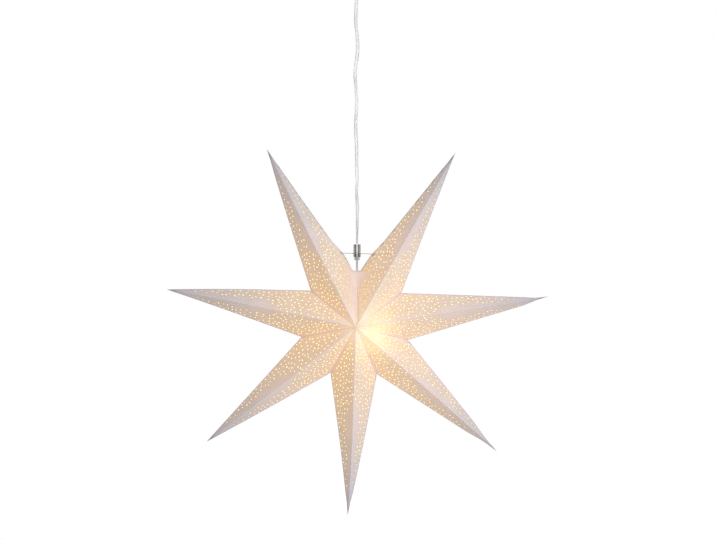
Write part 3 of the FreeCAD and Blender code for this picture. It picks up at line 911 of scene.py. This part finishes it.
def bent(point, number, direction):
    """The curl of the tips and their last few centimetres, where the folds press flat together."""
    along = point.dot(direction)
    reach = along / STAR_RADIUS
    pinch, pinch_start = PINCHES[number]
    press = eased(min(1, max(0, (reach - pinch_start) / (PINCH_END - pinch_start))))
    point = direction * along + (point - direction * along) * (1 - pinch * press)
    swing, lean, shorter, start = TIP_BENDS[number]
    curl = max(0, (reach - start) / (1 - start)) ** 2
    sideways = Vector((-direction.z, 0, direction.x))
    move = (sideways * swing + Vector((0, lean, 0)) - direction * shorter) * MM * curl
    return pushed(point, number) + move


# The front point sits a little off the middle; the end panels stop a little lower at the seam.
FRONT_POINT = Vector((1.4, -75, 2.8)) * MM
REAR_POINT = Vector((0, 75, 0)) * MM
SEAM_VALLEY_RADIUS = 96 * MM
# The closing flap's foot and top, its width, its free edge, and their painted shade: a little on
# the flap, and a darker painted shadow line along its free edge.
CLOSING_FLAP_FOOT = 0.015
CLOSING_FLAP_START = 11.5 * MM
CLOSING_FLAP_TOP = 70 * MM
CLOSING_FLAP_REACH = 2.8 * MM
CLOSING_FLAP_EDGE = 0.6 * MM
CLOSING_FLAP_SHADE = 0.05
CLOSING_EDGE_SHADOW = 0.8
# The closing tabs, from left to right and from the bottom up; the right wing is cut off below.
TAB_LEFT = -11.5 * MM
TAB_LOW_FOLDS = (-6 * MM, 7.5 * MM)
TAB_HIGH_FOLDS = (-10 * MM, 12.5 * MM)
TAB_RIGHT = 20 * MM
TAB_BOTTOM = 67 * MM
TAB_WING_INNER = 78.5 * MM
TAB_WING_OUTER = 83.5 * MM
TAB_TOP = 95 * MM
TAB_STEPS = 8
TAB_ROWS = 6
# How soon the tab's bend is flat on the way up, and the shade that its right half gets.
TAB_FLATTENING = 1.3
TAB_SHADE = 0.32
TAB_SHADE_START = 0.2
# The inner face's room by a fold, as a share of the way to the star's middle plane.
FOLD_ROOM = 0.96


def middle_point(side):
    """The front or rear point where the seven ridges meet."""
    return FRONT_POINT if side < 0 else REAR_POINT


def on_end_panel(is_first, side, across, up):
    """The point across and up in the plane of the first or last arm's end panel, and its normal."""
    turn = 1 if is_first else -1
    angle = arm_directions()[0 if is_first else -1]
    top = middle_point(side)
    tip = plane_direction(angle) * STAR_RADIUS
    valley = plane_direction(angle - turn * FREE_HALF_ANGLE) * SEAM_VALLEY_RADIUS
    normal = (tip - top).cross(valley - top)
    level = Vector((across, 0, up))
    return level + Vector((0, normal.dot(top - level) / normal.y, 0)), normal.normalized()


def closing_flap(sheet, valley, side):
    """Narrow flap from the first arm's seam edge, over the edge of the last arm's end panel."""
    top = middle_point(side)
    outward = Vector((0, side * PAPER, 0))
    ridge = plane_direction(arm_directions()[-1])
    low_right = top.x + (CLOSING_FLAP_START - top.z) * ridge.x / ridge.z
    seam = [top.lerp(valley, CLOSING_FLAP_FOOT),
            top.lerp(valley, (CLOSING_FLAP_TOP - top.z) / (valley.z - top.z))]
    shaded, free = ([on_end_panel(False, side, CLOSING_FLAP_REACH - back, CLOSING_FLAP_TOP)[0],
                     on_end_panel(False, side, low_right - back, CLOSING_FLAP_START)[0]]
                    for back in (CLOSING_FLAP_EDGE, 0))
    # The flap gets a little painted shade, and its free-edge strip a painted shadow line.
    for corners, mark in ((seam + shaded, CLOSING_FLAP_SHADE),
                          (shaded[::-1] + free, CLOSING_EDGE_SHADOW)):
        sheet.add_flat([corner + outward * 2 for corner in corners], -outward, mark)


def seam_point(side, up):
    """Where the two end panels' planes meet at this height."""
    first, _ = on_end_panel(True, side, 0, up)
    last, _ = on_end_panel(False, side, 0, up)
    first_rise = (on_end_panel(True, side, MM, up)[0].y - first.y) / MM
    last_rise = (on_end_panel(False, side, MM, up)[0].y - last.y) / MM
    return on_end_panel(True, side, (last.y - first.y) / (first_rise - last_rise), up)[0]


def tab_height(up):
    return (up - TAB_BOTTOM) / (TAB_TOP - TAB_BOTTOM)


def tab_folds(up):
    """How far left and right of the middle the tab's folds lie at this height."""
    return tuple(low + (high - low) * tab_height(up)
                 for low, high in zip(TAB_LOW_FOLDS, TAB_HIGH_FOLDS))


def tab_bend(side, up, share):
    """A place on the tab between its folds: bent along the seam below, straight across above."""
    left, right = tab_folds(up)
    start = on_end_panel(True, side, left, up)[0]
    end = on_end_panel(False, side, right, up)[0]
    flatness = min(1, tab_height(up) * TAB_FLATTENING)
    middle = seam_point(side, up).lerp((start + end) / 2, flatness)
    return start * (1 - share) ** 2 + middle * 2 * share * (1 - share) + end * share ** 2


def closure_tab(label, side, materials):
    """Plain tab over the top seam: a soft bend and two glued wings, the right one cut off below."""
    _, normal = on_end_panel(True, side, 0, TAB_TOP)
    thickness = Vector((0, side * PAPER / abs(normal.y), 0))
    sheet = Sheet()
    levels = [TAB_BOTTOM + (TAB_TOP - TAB_BOTTOM) * i / TAB_ROWS for i in range(TAB_ROWS + 1)]
    for low, high in zip(levels, levels[1:]):
        for i in range(TAB_STEPS):
            first, second = i / TAB_STEPS, (i + 1) / TAB_STEPS
            corners = [tab_bend(side, low, first), tab_bend(side, high, first),
                       tab_bend(side, high, second), tab_bend(side, low, second)]
            sheet.add_flat([corner + thickness for corner in corners], -thickness,
                           TAB_SHADE * max(0, first - TAB_SHADE_START))
    high_left, high_right = TAB_HIGH_FOLDS
    left_wing = [(TAB_LEFT, TAB_BOTTOM), (TAB_LEFT, TAB_TOP), (high_left, TAB_TOP),
                 (TAB_LOW_FOLDS[0], TAB_BOTTOM)]
    right_wing = [(tab_folds(TAB_WING_INNER)[1], TAB_WING_INNER), (high_right, TAB_TOP),
                  (TAB_RIGHT, TAB_TOP), (TAB_RIGHT, TAB_WING_OUTER)]
    for is_left, outline in ((True, left_wing), (False, right_wing)):
        corners = [on_end_panel(is_left, side, across, up)[0] + thickness for across, up in outline]
        sheet.add_flat(corners, -thickness)
    tab = sheet.into_object("%s_tab_paper" % label, materials)
    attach(tab, "star")
    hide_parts("%s_closure_tab" % label)


def make_arm(number, angle, valley_angles, patterns, flaps, materials):
    """One arm: four panels, and glue flaps at the valleys that are joined to a neighbour."""
    direction = plane_direction(angle)
    tip = direction * STAR_RADIUS
    valleys = [plane_direction(valley_angle) * (VALLEY_RADIUS if joined else SEAM_VALLEY_RADIUS)
               for valley_angle, joined in zip(valley_angles, flaps)]
    sheet = Sheet()
    for side in (-1, 1):
        top = middle_point(side)
        for valley, pattern in zip(valleys, patterns):
            shares, triangles, loops, marks = pattern
            normal = (tip - top).cross(valley - top).normalized()
            inward = Vector((0, -side * PAPER / abs(normal.y), 0))
            away = 1 if normal.y * side > 0 else -1
            # Rear panels that turn right get the paler tint of the painted inside light.
            inside = PALE_INSIDE if side > 0 and normal.x * away > 0 else INSIDE
            flat = [top * a + tip * b + valley * c for a, b, c in shares]
            outer = [bent(place, number, direction) for place in flat]
            inner = [folded + inward * min(1, FOLD_ROOM * abs(place.y) / inward.length)
                     for place, folded in zip(flat, outer)]
            sheet.add_slab(outer, inner, triangles, loops, marks, inside)
    for valley, has_flaps in zip(valleys, flaps):
        if not has_flaps:
            continue
        across = valley.cross(Vector((0, 1, 0))).normalized()
        if across.dot(tip - valley) < 0:
            across = -across
        for side in (-1, 1):
            glue_flap(sheet, middle_point(side), valley, across * PAPER)
    if number == 1:
        for side in (-1, 1):
            closing_flap(sheet, valleys[1], side)
    arm = sheet.into_object("arm_%d_paper" % number, materials)
    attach(arm, "star")
    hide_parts("arm_%d" % number)


def bar_notch_share():
    """Where the crossbar crosses the crease, counted from the tip."""
    angle = arm_directions()[-1]
    valley = plane_direction(angle + FREE_HALF_ANGLE) * SEAM_VALLEY_RADIUS
    tip = plane_direction(angle) * STAR_RADIUS
    return (tip.z - BAR_HEIGHT) / (tip.z - valley.z)


def make_star():
    """The seven arms and two tabs; the panels at the top seam have plain margins of their own."""
    materials = [paper_outside(), paper_inside("paper_inside", (1, 1, 1)),
                 paper_inside("pale_inside", PALE_TINT)]
    left = panel_pattern(LEFT_SEED)
    right = panel_pattern(RIGHT_SEED)
    notch = bar_notch_share()
    left_seam = panel_pattern(RIGHT_SEED, notch, LEFT_SEAM_MARGIN)
    right_seam = panel_pattern(LEFT_SEED, notch, RIGHT_SEAM_MARGIN)
    directions = arm_directions()
    last = len(directions) - 1
    for index, angle in enumerate(directions):
        low = angle - FREE_HALF_ANGLE if index == 0 else (directions[index - 1] + angle) / 2
        high = angle + FREE_HALF_ANGLE if index == last else (angle + directions[index + 1]) / 2
        patterns = [right_seam if index == last else left, left_seam if index == 0 else right]
        make_arm(index + 1, angle, (high, low), patterns, (index != last, index != 0), materials)
    tab_materials = [materials[OUTSIDE], paper_in_shade()]
    for label, side in (("front", -1), ("rear", 1)):
        closure_tab(label, side, tab_materials)


# ---------------------------------------------------------------- the other pieces

def finish_solids():
    steel = metal("drawn_steel", (0.40, 0.41, 0.395), 0.3, 500)
    white = plastic("white_paint", (0.86, 0.86, 0.85), 0.4)
    moulded = plastic("white_moulding", (0.82, 0.81, 0.78), 0.5)
    holder = plastic("lampholder_plastic", (0.8, 0.79, 0.76), 0.35)
    brass = metal("brass", (0.72, 0.53, 0.25), 0.3, 400)
    finishes = {
        metal("nickel_barrel", (0.54, 0.57, 0.60), 0.13, 300): ["grip_barrel"],
        metal("dark_collar", (0.32, 0.33, 0.35), 0.25, 300): ["grip_collar"],
        clear_plastic("clear_bush", (0.78, 0.83, 0.74), 0.15, 0.75): ["grip_bush"],
        steel: ["crossbar", "ceiling_strap", "canopy_screws"],
        white: ["canopy"],
        moulded: ["terminal_block", "gland_body", "gland_nut", "gland_screw"],
        holder: ["holder_cap", "holder_sleeve", "holder_core"],
        brass: ["holder_shell", "holder_contact", "bulb_tip_contact", "terminal_screws"],
        metal("bulb_cap_aluminium", (0.75, 0.75, 0.75), 0.35, 500): ["bulb_screw_cap"],
        plastic("bulb_insulator_glass", (0.03, 0.03, 0.035), 0.15): ["bulb_insulator"],
        lit_glass(): ["bulb_glass", "bulb_stem"],
    }
    for material, names in finishes.items():
        for name in names:
            finish_node(name, material)


# ---------------------------------------------------------------- floor, light and air

FLOOR_LEVEL = -2.4
FLOOR_RADIUS = 3.0
FLOOR_SIDES = 64
# The floor's colour for the light that it throws back, and for the camera, where it glows a little.
FLOOR_COLOUR = (0.9, 0.9, 0.9, 1)
FLOOR_SEEN_COLOUR = (0.4, 0.4, 0.4, 1)
FLOOR_GLOW = 0.6
WHITE = (1, 1, 1, 1)
AIR_COLOUR = (0.97, 0.98, 0.96, 1)
AIR_STRENGTH = 0.58
# What the metal mirrors, from left to right.
TENT = [(0.0, (0.05, 0.05, 0.05)), (0.38, (0.05, 0.05, 0.05)), (0.43, (1, 1, 1)), (0.54, (1, 1, 1)),
        (0.6, (0.07, 0.07, 0.07)), (1.0, (0.15, 0.15, 0.15))]
TENT_STRENGTH = 3.4
KEY_PLACE = Vector((1.3, -2.1, -0.1))
KEY_SIZE = 1.0
KEY_POWER = 24
KEY_COLOUR = (0.58, 0.86, 1.25)


def cleared_tree(owner):
    owner.use_nodes = True
    owner.node_tree.nodes.clear()
    return owner.node_tree


def rays(tree, *kinds):
    """1 for rays of any of these kinds."""
    path = node_of(tree, "ShaderNodeLightPath")
    total = path.outputs["Is %s Ray" % kinds[0]]
    for kind in kinds[1:]:
        total = arithmetic(tree, "MAXIMUM", total, path.outputs["Is %s Ray" % kind])
    return total


def joined_shaders(tree, node_type, *inputs):
    """Shaders put together by this type of node, after a mix's factor."""
    node = node_of(tree, node_type)
    for value, socket in zip(inputs, node.inputs):
        tree.links.new(value, socket)
    return node.outputs[0]


def make_floor():
    material = bpy.data.materials.new("floor")
    tree = cleared_tree(material)
    plain = node_of(tree, "ShaderNodeBsdfDiffuse", Color=FLOOR_COLOUR).outputs[0]
    soft = node_of(tree, "ShaderNodeBsdfDiffuse", Color=FLOOR_SEEN_COLOUR).outputs[0]
    pale = node_of(tree, "ShaderNodeEmission", Strength=FLOOR_GLOW).outputs[0]
    both = joined_shaders(tree, "ShaderNodeAddShader", soft, pale)
    seen = rays(tree, "Camera", "Glossy", "Transmission")
    surface = joined_shaders(tree, "ShaderNodeMixShader", seen, plain, both)
    tree.links.new(surface, node_of(tree, "ShaderNodeOutputMaterial").inputs["Surface"])
    mesh = bpy.data.meshes.new("floor")
    form = bmesh.new()
    bmesh.ops.create_circle(form, cap_ends=True, segments=FLOOR_SIDES, radius=FLOOR_RADIUS)
    form.to_mesh(mesh)
    form.free()
    mesh.materials.append(material)
    floor = bpy.data.objects.new("floor", mesh)
    floor.location = (0, 0, FLOOR_LEVEL)
    bpy.context.scene.collection.objects.link(floor)


def make_key_light():
    """One soft light from the right, above the viewer."""
    data = bpy.data.lights.new("key", "AREA")
    data.shape = "DISK"
    data.size = KEY_SIZE
    data.energy = KEY_POWER
    data.color = KEY_COLOUR
    light = bpy.data.objects.new("key", data)
    light.visible_glossy = False
    light.location = KEY_PLACE
    light.rotation_euler = (HUB_PLACE - KEY_PLACE).to_track_quat("-Z", "Y").to_euler()
    bpy.context.scene.collection.objects.link(light)


def make_air():
    """White air behind the star, and a tent with dark sides for the metal to mirror."""
    world = bpy.data.worlds.new("studio")
    bpy.context.scene.world = world
    tree = cleared_tree(world)
    sideways = node_of(tree, "ShaderNodeSeparateXYZ")
    tree.links.new(node_of(tree, "ShaderNodeTexCoord").outputs["Generated"], sideways.inputs[0])
    half = arithmetic(tree, "MULTIPLY", sideways.outputs["X"], 0.5)
    place = arithmetic(tree, "ADD", half, 0.5)
    air = node_of(tree, "ShaderNodeBackground", Color=AIR_COLOUR, Strength=AIR_STRENGTH)
    mirrored = node_of(tree, "ShaderNodeBackground", Strength=TENT_STRENGTH)
    tree.links.new(ramp(tree, place, TENT), mirrored.inputs["Color"])
    white = node_of(tree, "ShaderNodeBackground", Color=WHITE, Strength=1)
    in_gloss = joined_shaders(tree, "ShaderNodeMixShader", rays(tree, "Glossy"), air.outputs[0],
                              mirrored.outputs[0])
    behind = joined_shaders(tree, "ShaderNodeMixShader", rays(tree, "Camera", "Transmission"),
                            in_gloss, white.outputs[0])
    tree.links.new(behind, node_of(tree, "ShaderNodeOutputWorld").inputs["Surface"])


make_camera()
make_cord()
make_star()
finish_solids()
make_floor()
make_air()
make_key_light()
